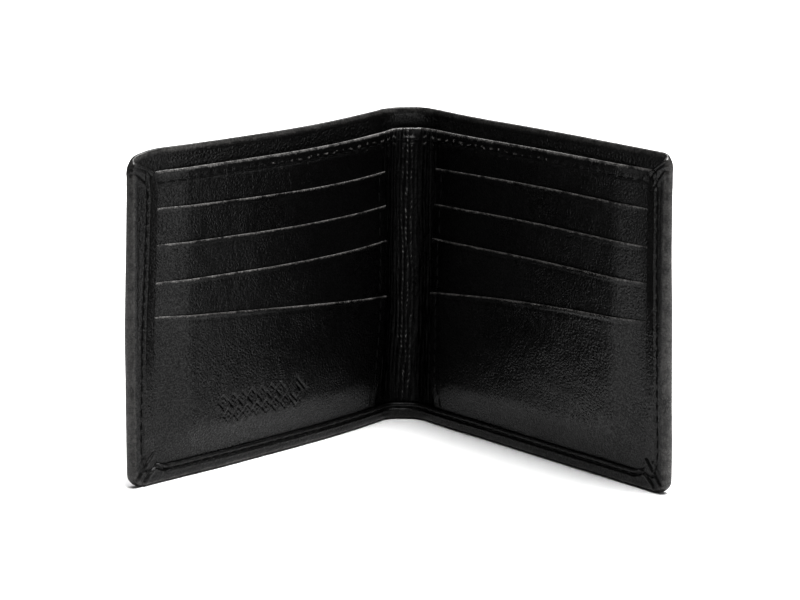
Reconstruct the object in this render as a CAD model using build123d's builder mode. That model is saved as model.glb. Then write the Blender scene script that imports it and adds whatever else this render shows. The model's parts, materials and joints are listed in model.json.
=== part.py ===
"""Bifold leather wallet, standing open in a V on its lower edge.

Frame: +Z up, the spine at the back (+Y), and the two wings come forward
(-Y) and apart along X. The origin is the bottom centre of the open wallet.

Each wing is a stack of flat layers. Positions on a wing use three lengths:
  across  distance from the fold line out along the wing
  height  distance up from the lower edge
  depth   distance in from the fold line's plane; the cards' side is positive
Wing pieces are made for the right wing and mirrored for the left one.
Units are millimetres and degrees.
"""
import os
from math import cos, radians, sin

from build123d import *

# ---- driving dimensions: overall ------------------------------------------
shell_height = 95.0        # outer shell, lower edge to top edge
wing_width = 105.0         # fold line to the wing's outer edge
spine_width = 13.0         # between the two fold lines
rest_half_angle = 40.0     # each wing from the closed position, as it stands
inner_height = 89.5        # top edge of the card panels

# ---- driving dimensions: leather, lining and thread ------------------------
shell_leather = 1.0
shell_corner = 3.5         # rounded outer corners of the shell
top_turn = 9.0             # band of shell leather turned in along the top edge
top_turn_leather = 0.6
hem_width = 4.5            # shell leather turned over the wing's outer side
hem_height = 5.0           # and over the lower edge
hem_leather = 0.7
board = 0.4
lining = 0.2
panel_leather = 0.6
strip_leather = 0.6
pocket_leather = 0.4
pocket_lining = 0.15
note_gap = 1.2             # slack of the note compartment in a wing
spine_note_gap = 4.7       # and between the two layers of the spine
slack = 0.05               # between layers that are only sewn at their edges
edge_gap = 0.1             # between a layer's edge and the turned edge round it

# ---- driving dimensions: card pockets --------------------------------------
lip_outer_heights = [78.8, 68.0, 57.6, 48.2]    # pocket lips at the outer side
lip_drops = [2.6, 2.4, 2.4, 9.6]                # fall of each lip to the spine
stack_start = 7.5          # card stack's edge beside the spine
lip_overlap = 8.0          # a facing reaches this far below the next lip
lining_lap = 5.0           # a pocket lining is sewn this far up its facing
pocket_depth = 50.0        # below the lip; a card is 54 mm tall

# ---- driving dimensions: stitches -------------------------------------------
stitch_pitch = 3.5
stitch_length = 2.6
stitch_width = 0.5
stitch_proud = 0.2
side_seam_inset = 3.0      # hem seam from the wing's outer edge
lower_seam_height = 3.6    # hem seam above the lower edge
top_seam_drop = 3.5        # top seam below the card panel's edge
pocket_seam_inset = 2.0    # seam beside the card stack's inner edge
groove_width = 0.9         # sewing groove in the shell's back, which sinks the seam
groove_depth = 0.25

# ---- running clearances -----------------------------------------------------
fold_clearance = 0.3       # round the folded bead, and between turning layers

# ---- worked-out depths in a wing, outside to inside -------------------------
shell_back = -shell_leather / 2
shell_face = shell_leather / 2
board_face = shell_face + board
note_lining_face = board_face + lining
inner_lining_back = note_lining_face + note_gap
panel_back = inner_lining_back + lining
panel_face = panel_back + panel_leather
hem_face = panel_face + hem_leather
backing_back = panel_face + slack
backing_face = backing_back + pocket_lining
pocket_pitch = pocket_lining + pocket_leather + slack

# ---- worked-out depths in the spine ------------------------------------------
spine_lining_face = shell_face + lining
spine_inner_back = spine_lining_face + spine_note_gap
spine_strip_back = spine_inner_back + lining
spine_strip_face = spine_strip_back + strip_leather
spine_hem_face = spine_strip_face + hem_leather

# ---- worked-out edges ----------------------------------------------------------
shell_start = shell_leather / 2 + fold_clearance
liner_start = shell_start + edge_gap
inner_start = spine_hem_face + stitch_proud + fold_clearance
spine_half_inside = spine_width / 2 - note_lining_face - fold_clearance
liner_end = wing_width - shell_leather - edge_gap
stack_end = wing_width - hem_width - edge_gap
layer_floor = shell_leather + edge_gap
stack_floor = hem_height + edge_gap
layer_corner = shell_corner - shell_leather - edge_gap
turn_start_height = shell_height - top_turn

# ---- place of the fold lines: the whole wallet is centred on the origin --------
lean = radians(rest_half_angle)
front_reach = wing_width * cos(lean) + hem_face * sin(lean)
back_reach = shell_leather / 2
fold_y = (front_reach - back_reach) / 2
fold_x = spine_width / 2


def wing_plane(depth):
    """Plane of one layer: x runs across the wing, y is height, z points inwards."""
    inward = Vector(-cos(lean), -sin(lean), 0)
    return Plane(
        origin=Vector(fold_x, fold_y, 0) + inward * depth,
        x_dir=(sin(lean), -cos(lean), 0),
        z_dir=inward,
    )


def spine_plane(depth):
    """The same for the spine, with x measured from the wallet's centre line."""
    return Plane(origin=(0, fold_y - depth, 0), x_dir=(1, 0, 0), z_dir=(0, -1, 0))


def save(piece, name):
    piece.label = name
    export_step(piece, f"parts/{name}.step")


def save_pair(piece, name):
    """Write a wing piece and its mirror image on the other wing."""
    save(piece, f"right_{name}")
    save(mirror(piece, about=Plane.YZ), f"left_{name}")


def layer(plane, across, heights, thickness, corner=0.0):
    """Flat layer between two distances across and two heights."""
    with BuildPart() as flat:
        with BuildSketch(plane) as outline:
            with Locations((across[0], heights[0])):
                Rectangle(across[1] - across[0], heights[1] - heights[0], align=(Align.MIN, Align.MIN))
            if corner:
                lower_outer = outline.vertices().group_by(Axis.Y)[0].sort_by(Axis.X)[-1]
                fillet(lower_outer, corner)
        extrude(amount=thickness)
    return flat.part


# ---- the shell: one hide, divided where it folds ---------------------------------
def make_wing_shell():
    """Outer leather of a wing, turned over its side, its lower edge and its top."""
    with BuildPart() as shell:
        with BuildSketch(wing_plane(shell_back)) as outline:
            with Locations((shell_start, 0)):
                Rectangle(wing_width - shell_start, shell_height, align=(Align.MIN, Align.MIN))
            fillet(outline.vertices().group_by(Axis.X)[-1], shell_corner)
        extrude(amount=hem_face - shell_back)

        # room for the layers, open at the top
        with BuildSketch(wing_plane(shell_face)) as room:
            with Locations((0, shell_leather)):
                Rectangle(wing_width - shell_leather, shell_height, align=(Align.MIN, Align.MIN))
            lower_outer = room.vertices().group_by(Axis.Y)[0].sort_by(Axis.X)[-1]
            fillet(lower_outer, shell_corner - shell_leather)
        extrude(amount=panel_face - shell_face, mode=Mode.SUBTRACT)

        # front window inside the hem, mitred at the upper corner
        with BuildSketch(wing_plane(panel_face)):
            with BuildLine():
                Polyline(
                    (0, hem_height),
                    (wing_width - hem_width, hem_height),
                    (wing_width - hem_width, inner_height - hem_width / 2),
                    (wing_width, shell_height),
                    (0, shell_height),
                    close=True,
                )
            make_face()
        extrude(amount=hem_leather, mode=Mode.SUBTRACT)

        # nothing turned over beside the fold line
        with BuildSketch(wing_plane(shell_face)):
            Rectangle(inner_start, shell_height, align=(Align.MIN, Align.MIN))
        extrude(amount=hem_face - shell_face, mode=Mode.SUBTRACT)

        with BuildSketch(wing_plane(shell_face)):
            with Locations((shell_start, turn_start_height)):
                Rectangle(
                    wing_width - shell_leather - shell_start,
                    top_turn - shell_corner / 2,
                    align=(Align.MIN, Align.MIN),
                )
        extrude(amount=top_turn_leather)

        # sewing groove up the side and along the lower edge, open at the fold line
        with BuildSketch(wing_plane(shell_back)):
            side_foot = lower_seam_height - groove_width / 2
            with Locations((wing_width - side_seam_inset, side_foot)):
                Rectangle(groove_width, inner_height - side_foot, align=(Align.CENTER, Align.MIN))
            with Locations((shell_start, lower_seam_height)):
                Rectangle(wing_width - side_seam_inset - shell_start, groove_width, align=(Align.MIN, Align.CENTER))
        extrude(amount=groove_depth, mode=Mode.SUBTRACT)
    save_pair(shell.part, "outer_shell")


def make_spine_shell():
    """Outer leather of the spine, with a folded bead on each fold line."""
    with BuildPart() as shell:
        with BuildSketch():
            with Locations((0, fold_y)):
                SlotCenterToCenter(spine_width, shell_leather)
        extrude(amount=shell_height)
        with BuildSketch(spine_plane(shell_face)):
            with Locations((0, turn_start_height)):
                Rectangle(2 * spine_half_inside, top_turn - shell_corner / 2, align=(Align.CENTER, Align.MIN))
        extrude(amount=top_turn_leather)
        with BuildSketch(spine_plane(shell_face)):
            Rectangle(2 * spine_half_inside, shell_leather, align=(Align.CENTER, Align.MIN))
        extrude(amount=spine_hem_face - shell_face)
        with BuildSketch(spine_plane(spine_strip_face)):
            Rectangle(2 * spine_half_inside, hem_height, align=(Align.CENTER, Align.MIN))
        extrude(amount=hem_leather)
        with BuildSketch(spine_plane(shell_back)):
            with Locations((0, lower_seam_height)):
                Rectangle(2 * spine_half_inside, groove_width)
        extrude(amount=groove_depth, mode=Mode.SUBTRACT)
    save(shell.part, "spine_outer_shell")


# ---- layers of a wing ----------------------------------------------------------------
def make_wing_layers():
    """Board, note compartment linings, card panel and hidden-pocket backing."""
    liner_across = (liner_start, liner_end)
    liner_heights = (layer_floor, turn_start_height - edge_gap)
    inner_across = (inner_start, liner_end)
    inner_heights = (layer_floor, inner_height)
    backing_heights = (stack_floor, lip_outer_heights[0] - lip_drops[0] - 1.0)

    stiffener = layer(wing_plane(shell_face), liner_across, liner_heights, board, layer_corner)
    save_pair(stiffener, "shell_board")
    outer_liner = layer(wing_plane(board_face), liner_across, liner_heights, lining, layer_corner)
    save_pair(outer_liner, "note_lining")
    inner_liner = layer(wing_plane(inner_lining_back), inner_across, inner_heights, lining, layer_corner)
    save_pair(inner_liner, "inner_lining")
    panel = layer(wing_plane(panel_back), inner_across, inner_heights, panel_leather, layer_corner)
    save_pair(panel, "card_panel")
    backing = layer(wing_plane(backing_back), (stack_start, stack_end), backing_heights, pocket_lining)
    save_pair(backing, "slip_pocket_backing")


def lip_height(index, across):
    """Height of a pocket's straight lip, which falls towards the spine."""
    share = (across - stack_start) / (stack_end - stack_start)
    return lip_outer_heights[index] - lip_drops[index] * (1 - share)


def facing_front(index):
    return backing_face + pocket_pitch * (index + 1) - slack


def facing_foot(index):
    """Lower edge of a facing: behind the next one, or down to the hem."""
    if index + 1 == len(lip_outer_heights):
        return stack_floor
    return lip_height(index + 1, stack_start) - lip_overlap


def make_card_pocket(index):
    """Leather facing of one card pocket, with a slanted lip."""
    with BuildPart() as facing:
        with BuildSketch(wing_plane(facing_front(index) - pocket_leather)):
            with BuildLine():
                Polyline(
                    (stack_start, facing_foot(index)),
                    (stack_end, facing_foot(index)),
                    (stack_end, lip_height(index, stack_end)),
                    (stack_start, lip_height(index, stack_start)),
                    close=True,
                )
            make_face()
        extrude(amount=pocket_leather)
    save_pair(facing.part, f"card_pocket_{index + 1}")


def make_pocket_lining(index):
    """Fabric that hangs from a facing and closes the pocket's foot."""
    top = facing_foot(index) + lining_lap
    foot = max(lip_outer_heights[index] - pocket_depth, stack_floor)
    plane = wing_plane(facing_front(index) - pocket_leather - pocket_lining)
    save_pair(layer(plane, (stack_start, stack_end), (foot, top), pocket_lining), f"card_pocket_lining_{index + 1}")


# ---- layers of the spine ------------------------------------------------------------
def make_spine_layers():
    """Lining, and the inner strip with its lining, which bridge the two wings."""
    across = (-spine_half_inside, spine_half_inside)
    outer_liner = layer(spine_plane(shell_face), across, (layer_floor, turn_start_height - edge_gap), lining)
    save(outer_liner, "spine_note_lining")
    inner_liner = layer(spine_plane(spine_inner_back), across, (layer_floor, inner_height), lining)
    save(inner_liner, "spine_inner_lining")
    strip = layer(spine_plane(spine_strip_back), across, (layer_floor, inner_height), strip_leather)
    save(strip, "spine_inner_strip")


# ---- stitches: a row is a group of separate stitches in one node -----------------------
def row(start, end):
    """Middles of the stitches that fit evenly between two places."""
    count = int((end - start) / stitch_pitch)
    step = (end - start) / count
    return [start + step * (place + 0.5) for place in range(count)]


def make_hem_stitching():
    """One thread through all layers: it shows on the hem and in the shell's groove."""
    side = row(lower_seam_height + stitch_pitch, inner_height - hem_width)
    lower = row(inner_start + 1, wing_width - side_seam_inset)
    with BuildPart() as stitches:
        for depth, proud in ((hem_face, stitch_proud), (shell_back + groove_depth, -stitch_proud)):
            with BuildSketch(wing_plane(depth)):
                with Locations([(wing_width - side_seam_inset, height) for height in side]):
                    Rectangle(stitch_width, stitch_length)
                with Locations([(across, lower_seam_height) for across in lower]):
                    Rectangle(stitch_length, stitch_width)
            extrude(amount=proud)
    save_pair(stitches.part, "hem_stitching")


def make_top_stitching():
    """Row below the card panel's top edge."""
    with BuildPart() as stitches:
        with BuildSketch(wing_plane(panel_face)):
            with Locations([(across, inner_height - top_seam_drop) for across in row(inner_start + 1, stack_end)]):
                Rectangle(stitch_length, stitch_width)
        extrude(amount=stitch_proud)
    save_pair(stitches.part, "top_stitching")


def make_pocket_stitching():
    """Upright row beside the spine that closes the pockets' inner ends."""
    across = stack_start + pocket_seam_inset
    last = len(lip_outer_heights) - 1
    with BuildPart() as stitches:
        for index in range(last + 1):
            top = lip_height(index, across) - stitch_width
            foot = stack_floor if index == last else lip_height(index + 1, across)
            with BuildSketch(wing_plane(facing_front(index))):
                with Locations([(across, height) for height in row(foot + stitch_width, top)]):
                    Rectangle(stitch_width, stitch_length)
            extrude(amount=stitch_proud)
    save_pair(stitches.part, "pocket_stitching")


def make_spine_stitching():
    """Top row on the inner strip, and the hem seam across the spine."""
    rows = (
        (spine_strip_face, inner_height - top_seam_drop, stitch_proud),
        (spine_hem_face, lower_seam_height, stitch_proud),
        (shell_back + groove_depth, lower_seam_height, -stitch_proud),
    )
    with BuildPart() as stitches:
        for depth, height, proud in rows:
            with BuildSketch(spine_plane(depth)):
                with Locations([(across, height) for across in row(-spine_half_inside, spine_half_inside)]):
                    Rectangle(stitch_length, stitch_width)
            extrude(amount=proud)
    save(stitches.part, "spine_stitching")


os.makedirs("parts", exist_ok=True)
make_wing_shell()
make_spine_shell()
make_wing_layers()
make_spine_layers()
for pocket in range(len(lip_outer_heights)):
    make_card_pocket(pocket)
for pocket in range(len(lip_outer_heights) - 1):
    make_pocket_lining(pocket)
make_hem_stitching()
make_top_stitching()
make_pocket_stitching()
make_spine_stitching()

print(f"fold lines at x = +/-{fold_x:.3f}, y = {fold_y:.3f}")
print(f"stack front at depth {facing_front(len(lip_outer_heights) - 1):.2f} of {fold_x:.2f}")
print(f"inner layers start {inner_start:.2f} across; spine inside is +/-{spine_half_inside:.2f}")
print(f"spine note gap y from {fold_y - spine_inner_back:.3f} to {fold_y - spine_lining_face:.3f}")
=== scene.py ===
"""Looks of the bifold leather wallet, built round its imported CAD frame.

The hide, the card panel's leather and the linings run unbroken across the spine.
Each is made here as two halves that meet on the centre line, and each half bends
between the spine and its wing. Lengths are in millimetres until a mesh is made.
Places on a wing are u across it from the fold line, z up, and v in from the shell's
middle, towards the cards. Places on the hide are g, the length along it from the
wallet's centre line, with z and v.
"""
import json
import math

import bmesh
import bpy
import numpy as np
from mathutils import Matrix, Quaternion, Vector


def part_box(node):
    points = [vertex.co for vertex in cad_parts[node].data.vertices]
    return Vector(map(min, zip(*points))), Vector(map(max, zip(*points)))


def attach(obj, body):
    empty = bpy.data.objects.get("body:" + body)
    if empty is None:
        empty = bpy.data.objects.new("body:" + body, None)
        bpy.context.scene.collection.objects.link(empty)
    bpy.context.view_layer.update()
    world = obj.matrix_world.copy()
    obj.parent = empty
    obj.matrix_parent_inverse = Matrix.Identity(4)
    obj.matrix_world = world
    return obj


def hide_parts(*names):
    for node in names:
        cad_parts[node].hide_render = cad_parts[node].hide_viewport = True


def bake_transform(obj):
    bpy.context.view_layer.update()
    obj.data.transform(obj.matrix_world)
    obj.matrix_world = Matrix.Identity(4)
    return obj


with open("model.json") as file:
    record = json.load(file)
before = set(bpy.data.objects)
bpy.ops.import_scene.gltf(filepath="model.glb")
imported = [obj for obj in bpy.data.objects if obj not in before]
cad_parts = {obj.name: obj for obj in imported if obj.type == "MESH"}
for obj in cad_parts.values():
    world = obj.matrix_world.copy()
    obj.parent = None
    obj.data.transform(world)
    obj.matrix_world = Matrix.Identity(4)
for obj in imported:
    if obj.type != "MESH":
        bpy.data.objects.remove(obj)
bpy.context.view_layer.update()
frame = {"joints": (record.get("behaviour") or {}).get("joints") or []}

scene = bpy.context.scene

MM = 0.001
SIDES = {"left": -1, "right": 1}

# ---- sizes read from the frame ----
folds = {joint["child"]: joint for joint in frame["joints"]}
FOLD_X = folds["right_wing"]["pos_m"][0] / MM
FOLD_Y = folds["right_wing"]["pos_m"][1] / MM
LEAN = math.radians(-folds["right_wing"]["range_deg"][0])
HALF_SHELL = 0.5
SHELL_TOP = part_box("right_outer_shell")[1].z / MM
PANEL_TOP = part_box("right_card_panel")[1].z / MM
WING = (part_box("right_outer_shell")[1].x / MM - FOLD_X - HALF_SHELL * math.cos(LEAN)) / math.sin(LEAN)
NOTE_LINING_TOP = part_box("right_note_lining")[1].z / MM

# ---- sizes that the CAD model has too ----
HEM_HEIGHT = 4.8
TOP_TURN = 9.0
STACK_START = 7.0
LIP_HEIGHTS = [78.8, 68.0, 57.6, 48.2]
LIP_DROPS = [2.6, 2.4, 2.4, 9.6]
LIP_OVERLAP = 8.0
LIP_END = 4.5  # where a lip has its full height, in from the edge
LINING_LAP = 5.0
POCKET_DEPTH = 50.0
STITCH_PITCH = 3.5
TOP_SEAM_DROP = 3.5
POCKET_SEAM = 9.5

# ---- how the leather sits ----
FOLD_RADIUS = 9.0  # the hide's bend at each fold line
EDGE = 4.0  # round corners of the hide
ROLL = 1.3  # how far in the rolled edge reaches
HEM_FACE = 3.15  # the sewn edges are pressed thin
HEM_THINNING = 0.75  # fewer layers lie under the hem near the top
HEM_THINS = (44.0, 38.0)  # from this height, over this length
HEM_LEATHER = 0.66
HEM_DIP = 0.3  # the side hem's cut edge is pressed in
SIDE_HEM = 7.4  # how far in the turned leather reaches at the side
HEM_SPREAD = {-1: 2.8, 1: 0.2}  # and how much further at the top
SEAM_FROM_CUT = (4.5, 3.4)  # side seam, out from the hem's cut edge: at the foot, at the top
FOOT_SEAM = 3.6  # the foot's seam, up from the edge
TOP_TURN_FACE = 1.1
SEWN_PANEL_FACE = 1.45
PANEL_FACE = 2.3
SEWN_STEP = 0.22  # from one pocket facing to the next
FREE_STEP = 0.52
STACK_GAP = 0.12  # from the card panel's face to the backing's
PANEL_START = 6.8  # nearer the spine the panel leaves the wing
STRIP_LENGTH = 10.5  # centre line to wing along the inner leather
STRIP_FOOT = 1.45  # depth of the spine's inner leather
STRIP_TOP = 4.7
SPINE_BULGE = 1.8  # the layers inside push the spine out
SPINE_LIFT = 1.0  # and up
SPINE_FOOT_SHIFT = -1.3  # the spine's foot stands a little to the left
SPINE_TOP_SHIFT = 0.3
TUCK = 1.7  # layers reach this near to the hide's edge
LAYER_FOOT = 2.0  # and to its foot
BOARD_DEPTH = 0.7
NOTE_LINING_DEPTH = 0.93
THREAD_RADIUS = 0.22
STITCH_HALF = 1.42  # half a stitch's length along the seam
THREAD_SINK = 0.35  # a stitch lies this deep in the hem
WING_BOW = {-1: 1.2, 1: 0.0}  # the wings aren't quite flat
EDGE_SAG = {-1: -0.5, 1: 0.8}  # nor are their top edges level
CORNER_DROP = {-1: (2.3, 13.0), 1: (-0.5, 60.0)}  # how far the top corner hangs, over what length
SPLAY = 2.4  # each wing's foot stands out further than its top
SPLAY_REACH = {-1: 62.0, 1: 95.0}
PANEL_PUSH = {-1: 2.4, 1: 0.2}  # the card panel stands off the hide beside the spine
# How far the edges lie above the CAD model's straight ones: at the outer side, beside
# the spine, and the crown between.
PANEL_RISE = {-1: (-0.6, -0.3, 0.0), 1: (0.55, -0.1, 0.25)}
LIP_RISES = {
    -1: [(-0.05, 1.35, -0.5), (0.4, 1.8, -0.5), (0.15, 1.8, -0.7), (0.1, 1.5, 0.2)],
    1: [(0.5, 2.0, 0.8), (0.8, 2.0, 0.8), (1.1, 2.2, 0.5), (0.0, 2.4, 1.3)],
}
MARK_PLACE = (60.0, 17.6)  # middle of the pressed ornament
MARK_ACROSS = (40.0, 78.0)  # the facing's grid is finer round it
MARK_LEVELS = (11.5, 23.5)


# ---- small helpers ----
CROWD = np.array([1.0, 0.5, 0.2, 0.05, 0])  # grid lines in from a rim, as shares of its radius


def smooth(x):
    """0 to 1, level at both ends."""
    x = np.clip(x, 0, 1)
    return x * x * (3 - 2 * x)


def bell(x, width):
    return np.exp(-((x / width) ** 2))


def lines(start, *stretches):
    """Grid lines from start through stretches of (end, step)."""
    runs = []
    for end, step in stretches:
        runs.append(np.linspace(start, end, max(2, round(abs(end - start) / step) + 1)))
        start = end
    return np.unique(np.round(np.concatenate(runs), 6))


def to_rim(run, end, radius):
    """Grid lines up to a rounded rim, crowded at it."""
    return np.concatenate([run[run < end - 1.3 * radius], end - radius * CROWD])


def rim_lines(start, end, radius, *stretches):
    """Grid lines between two rounded rims."""
    run = lines(start, *stretches)
    run = run[run > start + 1.3 * radius]
    return np.concatenate([start + radius * CROWD[::-1], to_rim(run, end, radius)])


def even_lines(start, end, radius, step):
    return rim_lines(start, end, radius, (end, step))


def rim(distance, radius):
    """Share of the full thickness, in from a rounded rim."""
    return np.sqrt(np.clip(1 - (1 - np.clip(distance / radius, 0, 1)) ** 2, 0, 1))


def between(place, start, end, radius):
    """The same between two rounded rims."""
    return rim(place - start, radius) * rim(end - place, radius)


def uneven(a, b, size, seed):
    """Slow unevenness, from about -1 to 1."""
    total = 0
    for k in range(1, 6):
        turn = seed * 2.4 + k * 1.9
        phase = (a * math.cos(turn) + b * math.sin(turn)) * (1 + 0.45 * k) / size
        total = total + np.sin(phase * 2 * math.pi + seed * 3.7 + k * k) / k ** 0.7
    return total / 3


# ---- where the layers lie ----
def along_wing(u):
    return np.sin(math.pi * np.clip(u / WING, 0, 1))


def bow(side, u, z):
    """The curve and twist that all the wing's layers share."""
    twist = SPLAY * (np.clip(u, 0, WING) / WING) ** 1.3 * smooth((SHELL_TOP - z) / SPLAY_REACH[side])
    return WING_BOW[side] * along_wing(u) ** 1.2 - twist + 0.18 * uneven(u, z, 55, 3 + side) * smooth(u / 15)


def settled(side, x, y, u, z):
    """World place, with the spine's bulge, lift and lean."""
    near_spine = bell(x, 15)
    drop, drop_length = CORNER_DROP[side]
    drop = drop * np.clip((u - WING + drop_length) / drop_length, 0, 1) ** 2
    lift = EDGE_SAG[side] * along_wing(u) + SPINE_LIFT * near_spine - drop
    shift = SPINE_FOOT_SHIFT + (SPINE_TOP_SHIFT - SPINE_FOOT_SHIFT) * z / SHELL_TOP
    place = side * x + shift * near_spine, y + SPINE_BULGE * bell(x, 9), z + lift * (z / SHELL_TOP) ** 2
    return np.stack(place, -1)


def wing_point(side, u, z, v):
    """World place of a point on a wing."""
    u, z, v = np.broadcast_arrays(u, z, v)
    depth = v + bow(side, u, z)
    x = FOLD_X + u * math.sin(LEAN) - depth * math.cos(LEAN)
    y = FOLD_Y - u * math.cos(LEAN) - depth * math.sin(LEAN)
    return settled(side, x, y, u, z)


TURN = math.pi / 2 - LEAN
BEND_START = FOLD_X - FOLD_RADIUS * math.tan(TURN / 2)
BEND_END = BEND_START + FOLD_RADIUS * TURN
HIDE_END = BEND_END + WING - (FOLD_X - BEND_START)


def hide_point(side, g, z, v):
    """World place of a point on the hide."""
    g, z, v = np.broadcast_arrays(g, z, v)
    turn = np.clip((g - BEND_START) / FOLD_RADIUS, 0, TURN)
    past = np.maximum(g - BEND_END, 0)
    u = np.where(past > 0, past + FOLD_X - BEND_START, 0)
    depth = v + bow(side, u, z)
    x = np.minimum(g, BEND_START) + FOLD_RADIUS * np.sin(turn) + past * math.cos(TURN)
    y = FOLD_RADIUS * (np.cos(turn) - 1) - past * math.sin(TURN)
    return settled(side, x - depth * np.sin(turn), FOLD_Y + y - depth * np.cos(turn), u, z)


def free(u, z):
    """0 where the layers are sewn down, 1 where they lie free."""
    return smooth((WING - SIDE_HEM - 0.6 - u) / 13) * smooth((z - HEM_HEIGHT + 0.3) / 11)


def panel_face(side, u, z):
    """Depth of the card panel's face; the note compartment stands a little open."""
    mouth = 0.6 * smooth((z - 55) / 35) * along_wing(u) ** 0.8
    push = PANEL_PUSH[side] * (1 - smooth((u - 8) / 75)) * smooth((z - HEM_HEIGHT) / 38)
    return SEWN_PANEL_FACE + (PANEL_FACE - SEWN_PANEL_FACE) * free(u, z) + mouth + push


def panel_half(u, z):
    return 0.15 + 0.15 * free(u, z)


def pocket_step(u, z):
    return SEWN_STEP + (FREE_STEP - SEWN_STEP) * free(u, z)


def pocket_face(side, index, u, z):
    """Depth of a facing's front. Index -1 is the backing behind the first facing."""
    return panel_face(side, u, z) + STACK_GAP + pocket_step(u, z) * (index + 1)


def strip_face(z):
    """Depth of the inner leather in the middle of the spine."""
    return STRIP_FOOT + (STRIP_TOP - STRIP_FOOT) * smooth((z - 4) / 75)


def panel_u(c):
    """Place across the wing for a place c along the inner leather, see inner_point."""
    return PANEL_START + np.maximum(c - 1, 0)


def inner_point(side, c, z, v):
    """World place of a point v in from the middle of the card panel's leather.

    c is 0 on the wallet's centre line and 1 where the leather joins the wing, and
    beyond that it counts millimetres along the wing.
    """
    c, z, v = np.broadcast_arrays(c, z, v)
    u = panel_u(c)
    on_wing = wing_point(side, u, z, panel_face(side, u, z) - panel_half(u, z) + v)
    joint_depth = panel_face(side, PANEL_START, z) - panel_half(PANEL_START, z) + v
    joint = wing_point(side, PANEL_START, z, joint_depth)
    depth = strip_face(z) - panel_half(PANEL_START, z) + v
    centre = settled(side, np.zeros_like(z), FOLD_Y - depth, 0 * z, z)
    from_centre = centre + np.array([side * 4.6, 0, 0])
    from_joint = joint + np.array([-side * math.sin(LEAN), math.cos(LEAN), 0]) * 2.6
    t = np.clip(c, 0, 1)[..., None]
    bridge = centre * (1 - t) ** 3 + from_centre * 3 * t * (1 - t) ** 2
    bridge = bridge + from_joint * 3 * t * t * (1 - t) + joint * t ** 3
    return np.where((c > 1)[..., None], on_wing, bridge)


def inner_flat(c):
    """Length along the inner leather from the centre line."""
    return np.minimum(c, 1) * STRIP_LENGTH + np.maximum(c - 1, 0)


def lip_share(u):
    """0 at the pockets' edge beside the spine, 1 at a lip's full height."""
    return np.clip((u - STACK_START) / (WING - LIP_END - STACK_START), 0, 1)


def rise(u, amounts):
    """How far an edge lies above its straight line."""
    outer, inner, crown = amounts
    share = lip_share(u)
    return outer * share + inner * (1 - share) + crown * np.sin(math.pi * share ** 0.8)


def lip(side, index, u):
    """Height of a pocket's lip."""
    straight = LIP_HEIGHTS[index] - LIP_DROPS[index] * (1 - lip_share(u))
    return straight + rise(u, LIP_RISES[side][index])


def panel_height(side, c, z):
    """Height on the card panel of what would be at z if its top were straight."""
    above = rise(panel_u(c), PANEL_RISE[side]) * np.clip(c, 0, 1) ** 2
    return z + above * (z / PANEL_TOP) ** 2


# ---- meshes ----
def put_in_scene(name, data):
    """New object that is linked to the scene."""
    thing = bpy.data.objects.new(name, data)
    scene.collection.objects.link(thing)
    return thing


def finished_mesh(name, material, points, flat, faces, wear_and_highlight=None, crumple=None):
    """Closed smooth mesh from points in millimetres.

    flat is each point's place on the uncut leather or cloth, which the materials
    follow, wear how scuffed it is and where highlights are painted on ridge tops, and
    crumple how wrinkled. Where a half ends on the wallet's centre line it gets a flat end face.
    """
    points = np.asarray(points, float).reshape(-1, 3)
    mesh = bpy.data.meshes.new(name)
    mesh.from_pydata((points * MM).tolist(), [], faces)
    mesh.materials.append(material)
    mesh.attributes.new("flat", "FLOAT_VECTOR", "POINT").data.foreach_set("vector", np.ravel(flat) * MM)
    for attribute, values in (("wear_and_highlight", wear_and_highlight), ("crumple", crumple)):
        values = np.zeros(len(points)) if values is None else np.ravel(values)
        mesh.attributes.new(attribute, "FLOAT", "POINT").data.foreach_set("value", values)
    soft = bmesh.new()
    soft.from_mesh(mesh)
    bmesh.ops.remove_doubles(soft, verts=soft.verts, dist=2e-7)
    bmesh.ops.dissolve_degenerate(soft, edges=soft.edges, dist=1e-8)
    for face in soft.faces:
        face.smooth = True
    open_edges = [edge for edge in soft.edges if edge.is_boundary]
    for face in bmesh.ops.holes_fill(soft, edges=open_edges, sides=0)["faces"]:
        face.smooth = False
        for edge in face.edges:
            edge.smooth = False
    bmesh.ops.recalc_face_normals(soft, faces=soft.faces)
    soft.to_mesh(mesh)
    soft.free()
    return put_in_scene(name, mesh)


def grid_faces(rows, columns, first=0):
    """Quads of a grid numbered row by row from first."""
    index = first + np.arange(rows * columns).reshape(rows, columns)
    corners = [index[:-1, :-1], index[:-1, 1:], index[1:, 1:], index[1:, :-1]]
    return np.stack(corners, -1).reshape(-1, 4).tolist()


def thin_sheet(name, material, side, middle, half, flat, relief=None, wear_and_highlight=None, crumple=None):
    """Closed sheet about a grid of middle points; relief lifts its inner face."""
    up = np.gradient(middle, axis=0)
    across = np.gradient(middle, axis=1)
    normal = np.cross(across, up) * side
    normal /= np.linalg.norm(normal, axis=-1, keepdims=True) + 1e-12
    lift = 0 if relief is None else relief * (half > 0)
    front = middle + normal * (half + lift)[..., None]
    back = middle - normal * half[..., None]
    rows, columns = half.shape
    faces = grid_faces(rows, columns) + grid_faces(rows, columns, rows * columns)
    flats = [np.concatenate([flat, sign * half[..., None]], -1) for sign in (1, -1)]
    both = [None if value is None else np.tile(value.ravel(), 2) for value in (wear_and_highlight, crumple)]
    return finished_mesh(name, material, np.concatenate([front, back]), np.concatenate(flats), faces, *both)


# ---- the hide, turned over at its edges ----
CORNER_ZONE = 8.0  # the hem's own corner folds spread this far
FLAP_START = (0.8, 1.5)  # the slanted fold at the top corner, in and down from it
FLAP_TIP = {-1: (8.1, 6.0), 1: (7.2, 6.0)}


def seam_from_cut(z):
    """How far the side seam runs out from the hem's cut edge."""
    foot, top = SEAM_FROM_CUT
    return foot + (top - foot) * np.clip(z, 0, SHELL_TOP) / SHELL_TOP


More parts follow.
